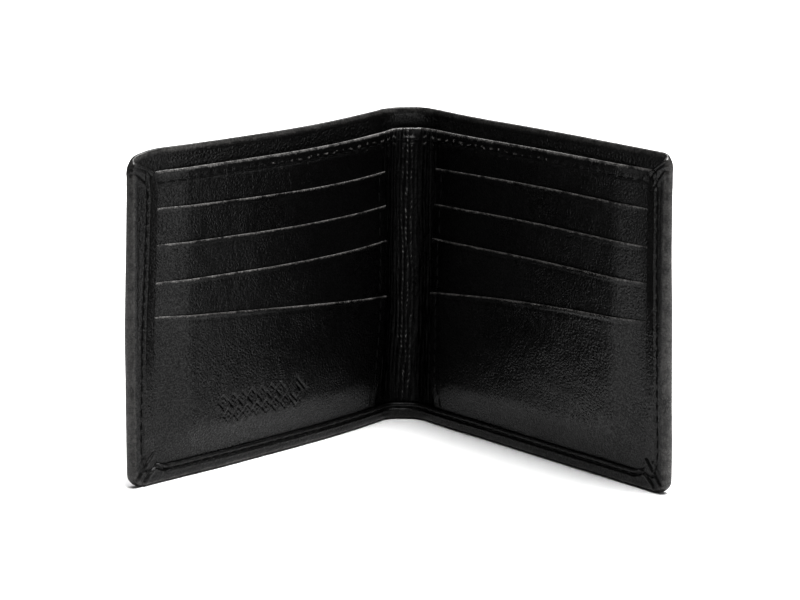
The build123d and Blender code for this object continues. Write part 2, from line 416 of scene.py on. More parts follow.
def side_hem(side, z):
    """Width of the side hem."""
    return SIDE_HEM + HEM_SPREAD[side] * (np.clip(z, 0, SHELL_TOP) / SHELL_TOP) ** 1.5


def cut_edge(side, z):
    """Where the side hem's cut edge lies on the hide."""
    return HIDE_END - side_hem(side, z)


def side_hem_face(z):
    """Depth of the side hem's face."""
    start, length = HEM_THINS
    return HEM_FACE - HEM_THINNING * smooth((z - start) / length)


def crease(a, b, start, end, depth, width=0.32):
    """A fold pressed into the leather between two places, raised beside it."""
    run = np.subtract(end, start)
    length = np.hypot(*run)
    run = run / length
    along = (a - start[0]) * run[0] + (b - start[1]) * run[1]
    beside = (b - start[1]) * run[0] - (a - start[0]) * run[1] + 0.35 * np.sin(math.pi * along / length)
    reach = smooth((along + 0.8) / 1.2) * smooth((length + 0.8 - along) / 1.2)
    return reach * depth * (0.6 * bell(beside - 2.1 * width, 1.5 * width) - bell(beside, width))


def over_top(side, g, z):
    """1 past the slanted fold between the side hem and the top edge's turned band."""
    a = HIDE_END - g
    b = SHELL_TOP - z
    tip = FLAP_TIP[side]
    run = np.subtract(tip, FLAP_START)
    beside = ((a - FLAP_START[0]) * run[1] - (b - FLAP_START[1]) * run[0]) / np.hypot(*run)
    below_corner = EDGE + CORNER_ZONE
    widening = (side_hem(side, SHELL_TOP - below_corner) - tip[0]) / (below_corner - tip[1])
    past_tip = np.minimum(a - tip[0] - widening * (b - tip[1]) - 0.35, TOP_TURN + 1 - b)
    return smooth(np.maximum(beside, past_tip) / 0.9)


def hem_depth(side, g, z):
    """Depth of the hem's face: thinner up the side, lower along the top."""
    a = HIDE_END - g
    b = SHELL_TOP - z
    tip = FLAP_TIP[side]
    top = over_top(side, g, z)
    face = side_hem_face(z)
    face = face + (TOP_TURN_FACE - face) * top
    # Folds at the corners: start and end as (in from the edge, height from top or foot), depth.
    folds_here = (
        (b, ((0.9, 2.4), (tip[0] - 0.9, tip[1] + 0.5), 0.3)),
        (b, ((0.3, 3.4), (tip[0] - 2.2, 9.2), 0.46)),
        (z, ((7.4, 9.4), (0.9, 2.1), 0.42)),
        (z, ((9.4, 6.4), (3.0, 0.9), 0.36)),
        (z, ((5.2, 9.8), (0.2, 4.2), 0.16)),
    )
    for height, (start, end, depth) in folds_here:
        face = face + crease(a, height, start, end, depth) * (1 - top)
    return face + 0.07 * uneven(g, z, 9, 5) * (1 - top)


def hide_stations(side):
    """The flat part's grid, and places round the turned edge from the spine's foot to its top: the
    near corner or side of the flat part, the way out from it, and where the turned leather ends."""
    side_g, top_z = HIDE_END - EDGE, SHELL_TOP - EDGE
    grid_g = lines(0, (BEND_START, 0.8), (BEND_END, 0.5), (side_g - 11, 1.15), (side_g, 0.4))
    grid_z = lines(EDGE, (EDGE + 9, 0.45), (top_z - 9, 1.15), (top_z, 0.4))
    corner_g = grid_g[-1]
    half_arc = EDGE * math.pi / 4
    reach = half_arc + CORNER_ZONE
    stations = []

    def corner_ends(tip, level_z, side_z):
        """Where the turned leather ends at a corner, and past it along the edge and the side."""
        return {"tip": np.array(tip), "level": np.array([corner_g - CORNER_ZONE, level_z]),
                "side": np.array([cut_edge(side, side_z), side_z])}

    flap_in, flap_down = FLAP_TIP[side]
    foot = corner_ends((HIDE_END - SIDE_HEM - 0.5, HEM_HEIGHT + 1.2), HEM_HEIGHT, EDGE + CORNER_ZONE)
    top = corner_ends((HIDE_END - flap_in, SHELL_TOP - flap_down), SHELL_TOP - TOP_TURN, top_z - CORNER_ZONE)

    def add(anchor, way, end, corner, from_corner, towards):
        """from_corner is the length round the outline from the middle of the corner."""
        if from_corner < reach:
            end = corner["tip"] + (corner[towards] - corner["tip"]) * (from_corner / reach)
        stations.append((*anchor, *way, *end))

    def level(z, way, end_z, corner, order):
        for g in order:
            add((g, z), way, (g, end_z), corner, half_arc + corner_g - g, "level")

    def arc(z, corner, first, last):
        for angle in np.linspace(first, last, 15)[1:-1]:
            towards = "level" if abs(angle) > math.pi / 4 else "side"
            from_corner = EDGE * abs(angle - (first + last) / 2)
            add((corner_g, z), (math.cos(angle), math.sin(angle)), None, corner, from_corner, towards)

    level(EDGE, (0, -1), HEM_HEIGHT, foot, grid_g)
    arc(EDGE, foot, -math.pi / 2, 0)
    for z in grid_z:
        from_corner = half_arc + min(z - EDGE, top_z - z)
        corner = foot if z < SHELL_TOP / 2 else top
        add((corner_g, z), (1, 0), (cut_edge(side, z), z), corner, from_corner, "side")
    arc(top_z, top, 0, math.pi / 2)
    level(top_z, (0, 1), SHELL_TOP - TOP_TURN, top, grid_g[::-1])
    return grid_g, grid_z, np.array(stations).reshape(-1, 3, 2).transpose(1, 0, 2)


def gathers(along):
    """Unevenness of the leather between stitches, 0 to 1."""
    return 0.5 + 0.38 * np.sin(2 * math.pi * along / STITCH_PITCH) + 0.12 * uneven(along, 0, 4, 29)


def turned_edge(side, anchor, way, end):
    """Section of the turned edge at every station, as (g, z, v), from the hide's outer face
    over the rolled edge, along the hem to its cut edge, and back under it to the inner face."""
    def at(inset):
        return anchor + way * (EDGE - inset)

    def face_at(place):
        return hem_depth(side, *place.T)

    root = at(2.0)
    reach = end - root
    length = np.linalg.norm(reach, axis=1)
    hem_way = reach / length[:, None]
    edge_face = face_at(at(ROLL))
    on_top = over_top(side, *at(ROLL).T)
    sideways = way[:, 0] ** 2
    seam_inset = length - seam_from_cut(anchor[:, 1]) * sideways - (HEM_HEIGHT - FOOT_SEAM) * (1 - sideways)
    dip = HEM_DIP * sideways * (1 - on_top)
    lowest = HALF_SHELL + 0.03  # the turned leather stays clear of the inner face
    pull = gathers(anchor.sum(axis=1))
    section, rubbed_and_highlit = [], []

    def put(place, depth, scuff_and_highlight=0.0):
        section.append(np.column_stack([place, np.broadcast_to(depth, len(place))]))
        rubbed_and_highlit.append(np.broadcast_to(scuff_and_highlight, len(place)))

    for inset in (4.0, 3.5, 3.1, 2.7, 2.3, 1.8, ROLL):
        put(at(inset), -HALF_SHELL, smooth((3 - inset) / 2.5) * 0.6)
    squareness = 0.84  # 1 would roll the edge round
    for angle in np.radians(np.linspace(-80, 80, 13)):
        bulge = abs(math.cos(angle)) ** squareness
        level = math.copysign(abs(math.sin(angle)) ** squareness, angle)
        middle = (edge_face - HALF_SHELL) / 2
        put(at(ROLL * (1 - bulge)), middle + (edge_face + HALF_SHELL) / 2 * level, 1.0)
    put(at(ROLL), edge_face, 0.7)
    for inset in (1.65, 2.0):
        put(at(inset), face_at(at(inset)) + 0.05, 0.4)
    cut = 0.16 + 0.14 * (1 - sideways)  # half thickness at the thinned cut edge
    for share in np.concatenate([np.linspace(0.06, 0.3, 4), np.linspace(0.36, 0.84, 13), [0.92, 1.0]]):
        place = root + reach * share
        beside = share * length - seam_inset
        groove = 0.45 * bell(beside, 0.4) - 0.12 * pull * bell(beside + 0.75, 0.45)
        groove = groove - 0.1 * bell(beside - 0.7, 0.4)
        swell = 0.07 * math.sin(math.pi * share) - HEM_DIP * sideways * smooth((share - 0.35) / 0.65)
        put(place, face_at(place) + (swell - groove) * (1 - on_top), 0.15 * (1 - on_top))
    face_at_end = face_at(end) - dip
    for angle in np.radians([22, 45, 68, 90, 112, 135, 158]):
        place = end + hem_way * (cut * math.sin(angle))[:, None]
        put(place, face_at_end - cut + cut * math.cos(angle), 0.35)
    for share in (1.0, 0.7, 0.35, 0.0):
        place = root + reach * share
        thickness = HEM_LEATHER + (2 * cut + dip - HEM_LEATHER) * share
        put(place, np.maximum(face_at(place) - thickness, lowest))
    under = np.maximum(edge_face - HEM_LEATHER, lowest)
    for angle in np.radians([60, 30, 0, -30, -60]):
        depth = (under + HALF_SHELL) / 2 + (under - HALF_SHELL) / 2 * math.sin(angle)
        put(at(1.75 - 0.8 * math.cos(angle)), depth)
    for inset in (1.75, 2.6, 3.3, 4.0):
        put(at(inset), HALF_SHELL)
    return np.stack(section, 1), np.stack(rubbed_and_highlit, 1)


def side_seam(side, z):
    """Where the side seam runs on the hide."""
    return cut_edge(side, z) + seam_from_cut(z)


def make_hide(word, side):
    """Half of the outer leather, from the centre line to a wing's outer edge."""
    grid_g, grid_z, stations = hide_stations(side)
    section, rubbed_and_highlit = turned_edge(side, *stations)
    g, z = np.meshgrid(grid_g, grid_z)
    sewn = bell(g - side_seam(side, z), 0.4) * (z > FOOT_SEAM)
    outside = -HALF_SHELL + 0.16 * sewn
    faces = grid_faces(*g.shape) + grid_faces(*g.shape, first=g.size)
    faces += grid_faces(*section.shape[:2], first=2 * g.size)
    inside = np.full_like(g, HALF_SHELL)
    flat = np.concatenate([np.stack([g, z, depth], -1).reshape(-1, 3) for depth in (outside, inside)]
                          + [section.reshape(-1, 3)])
    wear_and_highlight = np.concatenate([np.zeros(2 * g.size), rubbed_and_highlit.ravel()])
    surface = flat.copy()
    surface[:, 0] *= side
    place = hide_point(side, *flat.T)
    piece = finished_mesh(f"{word}_shell_hide", SHELL_LEATHER, place, surface, faces, wear_and_highlight)
    bend_at_hide(piece, side)
    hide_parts(f"{word}_outer_shell", "spine_outer_shell")
    return piece


def bend_at_hide(piece, side):
    """Bakes the piece's place into its mesh; the hide and what lies on it are already shaped round the fold
    line.
    """
    start = wing_point(side, 5.5, 0, 0) * MM
    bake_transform(piece)


def bend_inside(piece, side):
    """Bakes the piece's place into its mesh; the inner leather and its lining are already shaped over the
    spine.
    """
    start = wing_point(side, PANEL_START, 0, PANEL_FACE) * MM
    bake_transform(piece)


# ---- layers inside ----
def spine_folds(along):
    """Broad folds over the spine: a ridge with a groove each side."""
    return 0.5 * bell(along + 0.6, 2.4) - 0.55 * bell(along - 3.4, 1.4) - 0.35 * bell(along + 5.2, 1.5)


def above_foot(z):
    """0 at the spine's foot, where the layers are sewn, to 1 above it."""
    return smooth((z - 3.5) / 9)


def over_spine(along):
    """1 on the strip that bridges the spine, 0 on the wing."""
    return 1 - smooth((along - STRIP_LENGTH - 0.2) / 1.4)


def pleats(along, z):
    """All the upright wrinkles over the spine: their height, and their scuffed ridge tops, painted lighter as
    highlights.
    """
    wander = 0.5 * np.sin(z / 11 + 1.3) + 0.2 * np.sin(z / 4.3 + along) + 0.14 * np.sin(z / 1.7 + 2.2 * along)
    beads = 0.55 + 0.45 * uneven(along * 2.5, z, 7, 13)
    fine = 0.17 + 0.09 * bell(along + 0.8 - 0.3 * wander, 2.3)
    turns = (along + 0.7 * wander) / 1.15
    ridges = 1 - 4 * np.abs(turns - np.round(turns))
    side_ridges = 1 - 2 * np.abs(np.sin(math.pi * (along - 0.6 * wander) / 2.3 + 0.7))
    crumple = 0.05 * uneven(along * 2.6, z, 4.4, 7) + 0.06 * uneven(along * 2.2, z, 2.3, 9)
    height = spine_folds(along) + fine * beads * ridges + 0.08 * side_ridges + crumple
    height = height * above_foot(z)
    dashes = smooth(0.42 + 1.3 * uneven(along * 3, z, 2.0, 21))
    # The ridge tops are painted lighter in dashes, as highlights, and the ridges beside the spine too; the
    # leather there is also scuffed.
    rubbed_and_highlit = smooth(ridges * 0.9) * dashes * bell(along + 0.2 - 0.3 * wander, 2.1)
    return height, 1.5 * rubbed_and_highlit + 0.35 * smooth(side_ridges * 1.4 - 0.4) * bell(np.abs(along) - 7.4, 1.0)


def strip_folds(side, along, z, below_top):
    """The same on the inner leather, ending beside the spine and at the top edge."""
    height, scuff_and_highlight = pleats(side * along, z)
    near_spine = over_spine(along)
    return height * near_spine * smooth((below_top + 4) / 5), scuff_and_highlight * near_spine


def puckers(along, beside):
    """Leather drawn up between the stitches of a seam."""
    gather = 0.5 + 0.5 * np.sin(2 * math.pi * along / STITCH_PITCH) + 0.35 * uneven(along, beside, 5, 17)
    drawn = bell(beside + 0.95, 0.55) + 0.6 * bell(beside - 0.95, 0.6)
    return 0.17 * gather * drawn - 0.16 * bell(beside, 0.45)


def make_card_panel(word, side):
    """A card panel, with half of the strip that bridges the spine."""
    reach = WING - TUCK - PANEL_START
    on_wing = to_rim(lines(0.25, (4, 0.35), (reach, 0.95)), reach, 0.25)
    columns = np.concatenate([np.linspace(0, 1, 56), 1 + on_wing])
    top_rows = PANEL_TOP - 6
    rows = rim_lines(LAYER_FOOT, PANEL_TOP, 0.9, (top_rows, 0.8), (PANEL_TOP, 0.35))
    c, level = np.meshgrid(columns, rows)
    u = panel_u(c)
    z = panel_height(side, c, level)
    below_top = PANEL_TOP - level
    beside_seam = below_top - TOP_SEAM_DROP
    half = panel_half(u, z) * rim(level - LAYER_FOOT, 0.3) * rim(below_top, 1.1) * rim(reach + 1 - c, 0.25)
    half = half * (1 + 1.1 * bell(below_top - 0.3, 1.7))
    along = inner_flat(c)
    near_spine = over_spine(along)
    middle = inner_point(side, c, z, 0)
    fold_height, fold_scuff_and_highlight = strip_folds(side, along, z, below_top)
    outward = middle - inner_point(side, c, z, -1)
    middle = middle + outward * fold_height[..., None]
    relief = puckers(along, beside_seam) * (1 - 0.65 * near_spine)
    relief = relief + 0.05 * uneven(u, z, 14, 11 + side) * smooth(below_top / 6)
    # Painted highlights: the ridges of the puckers beside the top seam, and the spine's ridge tops; the top
    # edge is scuffed lighter.
    wander = 0.5 * uneven(along, 0, 2.4, 31)
    pulled = puckers(along, beside_seam + wander)
    pucker_highlight = 1.2 * smooth((pulled - 0.04) / 0.09) * (1 - smooth((u - 30) / 70))
    wear_and_highlight = np.maximum(bell(below_top, 1.15), np.maximum(fold_scuff_and_highlight, pucker_highlight))
    crumple = near_spine + 0.35 * bell(beside_seam, 1.6)
    flat = np.stack([side * along, z], -1)
    piece = thin_sheet(
        f"{word}_card_panel_leather", INNER_LEATHER, side, middle, half, flat, relief, wear_and_highlight, crumple)
    bend_inside(piece, side)
    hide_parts(f"{word}_card_panel", "spine_inner_strip")


def emboss(u, z):
    """Pressed lozenges: two rows of outlines and a larger pair."""
    def lozenge(p, q, width, height, line):
        return bell((np.abs(p) / width + np.abs(q) / height - 1) * width * 0.7, line)

    p = u - MARK_PLACE[0]
    q = z - MARK_PLACE[1]
    pitch = 3.7
    pressed = np.zeros(np.broadcast(p, q).shape)
    for row, level in enumerate((2.1, -2.1)):
        for place in range(7):
            centre = 13.2 - pitch * place - pitch / 2 * row
            pressed = np.maximum(pressed, lozenge(p - centre, q - level, 1.55, 1.75, 0.3))
            pressed = np.maximum(pressed, bell(np.hypot(p - centre, q - level), 0.45))
    for size in (3.9, 2.2):
        pressed = np.maximum(pressed, lozenge(p + 15.4, q, size, size * 1.1, 0.36))
    return pressed


def facing_foot(index):
    """Lower edge of a facing that ends behind the next one's lip."""
    return LIP_HEIGHTS[index + 1] - LIP_DROPS[index + 1] - LIP_OVERLAP


def make_facing(word, side, index):
    """Leather facing of one card pocket, with its turned lip."""
    end = WING - TUCK
    rim_radius = 0.2
    last = index == len(LIP_HEIGHTS) - 1
    marked = last and side < 0
    foot = LAYER_FOOT if last else facing_foot(index)
    nominal = LIP_HEIGHTS[index]
    across = [(STACK_START + 4, 0.5), (end, 1.2)]
    levels = [(nominal - 5, 1.2), (nominal, 0.4)]
    if marked:
        left, right = MARK_ACROSS
        low, high = MARK_LEVELS
        across = [(left, 1.2), (right, 0.28), (end, 1.2)]
        levels = [(low, 1.2), (high, 0.28), *levels]
    columns = rim_lines(STACK_START, end, rim_radius, *across)
    rows = rim_lines(foot, nominal, rim_radius, *levels)
    u, level = np.meshgrid(columns, rows)
    top = lip(side, index, u)
    hang = smooth((level - foot) / (nominal - foot))
    z = level + (top - nominal) * hang
    below = nominal - level
    loose = free(u, z)
    full = 0.365 * pocket_step(u, z)
    half = full * between(u, STACK_START, end, rim_radius) * between(level, foot, nominal, rim_radius)
    gape = 0.3 * loose * bell(below, 4) * along_wing(u) ** 0.5
    middle = wing_point(side, u, z, pocket_face(side, index, u, z) - full + gape)
    turned_lip = 0.14 * bell(below - 0.45, 0.6) - 0.1 * bell(below - 1.6, 0.35)
    relief = loose * (turned_lip + 0.06 * uneven(u, z, 13, index + 2 * side))
    relief = relief - 0.1 * bell(u - POCKET_SEAM, 0.5)
    if marked:
        relief = relief - 0.25 * emboss(u, z)
    wear_and_highlight = bell(below, 0.85)
    flat = np.stack([side * u, z + 110 * index], -1)
    name = f"{word}_card_facing_{index + 1}"
    piece = thin_sheet(name, INNER_LEATHER, side, middle, half, flat, relief, wear_and_highlight)
    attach(piece, f"{word}_wing")
    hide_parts(f"{word}_card_pocket_{index + 1}")


def make_facings(word, side):
    for index in range(len(LIP_HEIGHTS)):
        make_facing(word, side, index)


def make_cloth(name, side, columns, rows, place, half, node, start=None):
    """Lining cloth over a grid."""
    a, z = np.meshgrid(columns, rows)
    foot, top = rows[0], rows[-1]
    radius = 0.1
    thick = half * between(z, foot, top, radius) * rim(columns[-1] - a, radius)
    if start is not None:
        thick = thick * rim(a - start, radius)
    flat = np.stack([a, z], -1)
    piece = thin_sheet(name, LINING_CLOTH, side, place(a, z), np.broadcast_to(thick, a.shape), flat)
    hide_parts(*node)
    return piece


def make_note_lining(word, side):
    """Cloth on the hide's side of the note compartment."""
    end = HIDE_END - TUCK
    columns = lines(0, (BEND_START, 0.8), (BEND_END, 0.5), (end - 0.3, 2.0))
    columns = np.concatenate([columns, end - np.array([0.1, 0.05, 0.02, 0])])
    rows = even_lines(LAYER_FOOT, NOTE_LINING_TOP, 0.1, 2.0)

    def on_hide(g, z):
        return hide_point(side, g, z, NOTE_LINING_DEPTH)

    nodes = (f"{word}_note_lining", "spine_note_lining")
    piece = make_cloth(
        f"{word}_note_lining_cloth", side, columns, rows, on_hide, 0.05, nodes)
    bend_at_hide(piece, side)


def make_inner_lining(word, side):
    """Cloth on the card panel's side of the note compartment."""
    reach = WING - TUCK - PANEL_START
    on_wing = np.concatenate([lines(0.5, (reach - 0.3, 2.0)), reach - np.array([0.1, 0.05, 0.02, 0])])
    columns = np.concatenate([np.linspace(0, 1, 26), 1 + on_wing])
    rows = even_lines(LAYER_FOOT, PANEL_TOP - 0.5, 0.1, 2.0)

    def behind_panel(c, z):
        slack = (0.2 + 0.75 * above_foot(z)) * (1 - smooth((c - 1) / 1.6))
        return inner_point(side, c, panel_height(side, c, z), -panel_half(panel_u(c), z) - 0.06 - slack)

    nodes = (f"{word}_inner_lining", "spine_inner_lining")
    piece = make_cloth(
        f"{word}_inner_lining_cloth", side, columns, rows, behind_panel, 0.04, nodes)
    bend_inside(piece, side)


def make_pocket_linings(word, side):
    """The slip pocket's backing, and the cloth of the upper card pockets."""
    end = WING - TUCK - 0.3
    columns = even_lines(STACK_START, end, 0.1, 2.5)

    def behind_stack(u, z):
        return wing_point(side, u, z, pocket_face(side, -1, u, z) - 0.04)

    rows = even_lines(LAYER_FOOT, LIP_HEIGHTS[0] - LIP_DROPS[0] - 1, 0.1, 2.5)
    piece = make_cloth(
        f"{word}_slip_pocket_cloth", side, columns, rows, behind_stack, 0.04,
        (f"{word}_slip_pocket_backing",), STACK_START)
    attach(piece, f"{word}_wing")

    for index in range(len(LIP_HEIGHTS) - 1):
        def behind_facing(u, z, index=index):
            return wing_point(side, u, z, pocket_face(side, index, u, z) - 0.85 * pocket_step(u, z))

        foot = max(LIP_HEIGHTS[index] - POCKET_DEPTH, HEM_HEIGHT)
        rows = even_lines(foot, facing_foot(index) + LINING_LAP, 0.1, 2.5)
        piece = make_cloth(
            f"{word}_pocket_cloth_{index + 1}", side, columns, rows, behind_facing, 0.02,
            (f"{word}_card_pocket_lining_{index + 1}",),
            STACK_START)
        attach(piece, f"{word}_wing")


def make_board(word, side):
    """Stiffener between the hide and the note compartment's lining."""
    start, end, radius = 1.0, WING - TUCK, 0.12
    columns = even_lines(start, end, radius, 2.2)
    rows = even_lines(LAYER_FOOT, NOTE_LINING_TOP, radius, 2.2)
    u, z = np.meshgrid(columns, rows)
    half = 0.14 * between(u, start, end, radius) * between(z, LAYER_FOOT, NOTE_LINING_TOP, radius)
    middle = wing_point(side, u, z, BOARD_DEPTH)
    flat = np.stack([side * u, z], -1)
    piece = thin_sheet(f"{word}_stiffener_board", BOARD, side, middle, half, flat)
    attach(piece, f"{word}_wing")
    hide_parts(f"{word}_shell_board")


# ---- thread ----
def seam(start, end):
    """Middles of the stitches that fit evenly between two places."""
    count = max(1, int(abs(end - start) / STITCH_PITCH))
    step = (end - start) / count
    return [start + step * (k + 0.5) for k in range(count)]


def stitch_rows(name, rows):
    """One mesh of separate stitches. A row is a place function of (along, beside, out) in
    millimetres from a stitch's middle, and the middles it is called with."""
    points, flats, faces = [], [], []
    ring = 8  # points round the thread
    turns = np.linspace(0, 2 * math.pi, ring + 1)[:-1]
    t = np.array([-1, -0.93, -0.75, -0.45, 0, 0.45, 0.75, 0.93, 1])
    radius = THREAD_RADIUS * np.sqrt(1 - 0.75 * np.abs(t) ** 5)
    arch = 0.1 - 0.42 * np.abs(t) ** 5
    along = t[:, None] * STITCH_HALF + 0 * turns
    beside = radius[:, None] * np.cos(turns) + 0.1 * t[:, None]
    out = arch[:, None] + radius[:, None] * np.sin(turns)
    for place, middles in rows:
        for middle in middles:
            first = sum(len(p) for p in points)
            body = place(middle, along, beside, out).reshape(-1, 3)
            ends = np.stack([body[:ring].mean(0), body[-ring:].mean(0)])
            points.append(np.concatenate([body, ends]))
            around = np.stack([along, 0.26 * turns + 0 * along, 0 * along + len(points)], -1).reshape(-1, 3)
            flats.append(np.concatenate([around, around[[0, -1]]]))
            for start in range(first, first + (len(t) - 1) * ring, ring):
                for k in range(ring):
                    a, b = start + k, start + (k + 1) % ring
                    faces.append([a, b, b + ring, a + ring])
            last = first + (len(t) - 1) * ring
            for k in range(ring):
                faces.append([first + (k + 1) % ring, first + k, last + ring])
                faces.append([last + k, last + (k + 1) % ring, last + ring + 1])
    return finished_mesh(name, THREAD, np.concatenate(points), np.concatenate(flats), faces)


def make_thread(word, side):
    """Hem seam inside and out, the card panel's seam, and the pocket seam."""
    upright = seam(FOOT_SEAM + 5, SHELL_TOP - 10)
    level = seam(0, side_seam(side, 0) - 4)

    def hem_rows(side_depth, foot_depth, way):
        """The seam up the side and round the foot on one face."""
        def up_side(m, along, beside, out):
            z = m + along
            return hide_point(side, side_seam(side, z) + beside, z, side_depth(z) + way * out)

        def round_foot(m, along, beside, out):
            return hide_point(side, m + along, FOOT_SEAM + beside, foot_depth + way * out)

        return [(up_side, upright), (round_foot, level)]

    hem = stitch_rows(
        f"{word}_hem_thread",
        hem_rows(lambda z: side_hem_face(z) - THREAD_SINK, HEM_FACE - THREAD_SINK, 1)
        + hem_rows(lambda z: -HALF_SHELL + 0.2, -HALF_SHELL + 0.1, -1))
    bend_at_hide(hem, side)
    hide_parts(f"{word}_hem_stitching", "spine_stitching")

    def under_top(m, along, beside, out):
        run = m + along
        c = np.where(run < STRIP_LENGTH, run / STRIP_LENGTH, run - STRIP_LENGTH + 1)
        z = panel_height(side, c, PANEL_TOP - TOP_SEAM_DROP + beside)
        fold, _ = strip_folds(side, run, z, PANEL_TOP - z)
        return inner_point(side, c, z, panel_half(panel_u(c), z) - 0.16 + fold + out)

    top_end = STRIP_LENGTH + WING - SIDE_HEM - PANEL_START - 2
    top = stitch_rows(f"{word}_top_thread", [(under_top, seam(0, top_end))])
    bend_inside(top, side)
    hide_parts(f"{word}_top_stitching", "spine_stitching")

    rows = []
    edges = [lip(side, index, POCKET_SEAM) for index in range(len(LIP_HEIGHTS))] + [HEM_HEIGHT]
    for index in range(len(LIP_HEIGHTS)):
        def up_stack(m, along, beside, out, index=index):
            z = m + along
            face = pocket_face(side, index, POCKET_SEAM, z)
            return wing_point(side, POCKET_SEAM + beside, z, face - 0.05 + out)

        rows.append((up_stack, seam(edges[index + 1] + 0.6, edges[index] - 0.4)))
    pockets = stitch_rows(f"{word}_pocket_thread", rows)
    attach(pockets, f"{word}_wing")
    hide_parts(f"{word}_pocket_stitching")


# ---- materials ----
class Nodes:
    """Short way to add shader nodes and link them."""

    def __init__(self, name):
        self.material = bpy.data.materials.new(name)
        self.material.use_nodes = True
        self.tree = self.material.node_tree
        self.shader = self.tree.nodes["Principled BSDF"]

    def add(self, kind, inputs=(), **settings):
        node = self.tree.nodes.new(kind)
        for key, value in settings.items():
            setattr(node, key, value)
        for key, value in dict(inputs).items():
            self.feed(node.inputs[key], value)
        return node

    def feed(self, socket, value):
        if isinstance(value, bpy.types.NodeSocket):
            self.tree.links.new(value, socket)
        else:
            socket.default_value = value

    def attribute(self, name, output):
        return self.add("ShaderNodeAttribute", attribute_name=name).outputs[output]

    def math(self, operation, a, b=0.0, clamp=False):
        node = self.add("ShaderNodeMath", operation=operation, use_clamp=clamp)
        self.feed(node.inputs[0], a)
        self.feed(node.inputs[1], b)
        return node.outputs[0]

    def times(self, a, b):
        return self.math("MULTIPLY", a, b)

    def plus(self, a, b):
        return self.math("ADD", a, b)

    def scaled(self, vector, factors):
        return self.add("ShaderNodeVectorMath", {0: vector, 1: factors}, operation="MULTIPLY").outputs[0]

    def noise(self, vector, scale, detail=4.0, rough=0.55):
        inputs = {"Vector": vector, "Scale": scale, "Detail": detail, "Roughness": rough}
        return self.add("ShaderNodeTexNoise", inputs).outputs["Fac"]

    def span(self, value, low, high, to_low=0.0, to_high=1.0):
        inputs = {"Value": value, "From Min": low, "From Max": high, "To Min": to_low, "To Max": to_high}
        return self.add("ShaderNodeMapRange", inputs, interpolation_type="SMOOTHSTEP").outputs[0]

    def tint(self, share, dark, light, rubbed_and_highlit=None):
        """Colour from dark to light, and from there to a third colour for scuffing and painted highlights,
        where that is given.
        """
        ramp = self.add("ShaderNodeValToRGB", {"Fac": share})
        ramp.color_ramp.elements[0].color = (*dark, 1)
        ramp.color_ramp.elements[1].color = (*(rubbed_and_highlit or light), 1)
        if rubbed_and_highlit:
            ramp.color_ramp.elements.new(0.55).color = (*light, 1)
        return ramp.outputs["Color"]

    def bump(self, height, distance, strength, before=None):
        inputs = {"Height": height, "Distance": distance, "Strength": strength}
        if before is not None:
            inputs["Normal"] = before
        return self.add("ShaderNodeBump", inputs).outputs["Normal"]

    def finish(self, colour, roughness, normal, more=()):
        """The material, with its shader's sockets fed."""
        sockets = {"Base Color": colour, "Roughness": roughness, "Normal": normal, **dict(more)}
        for name, value in sockets.items():
            self.feed(self.shader.inputs[name], value)
        return self.material


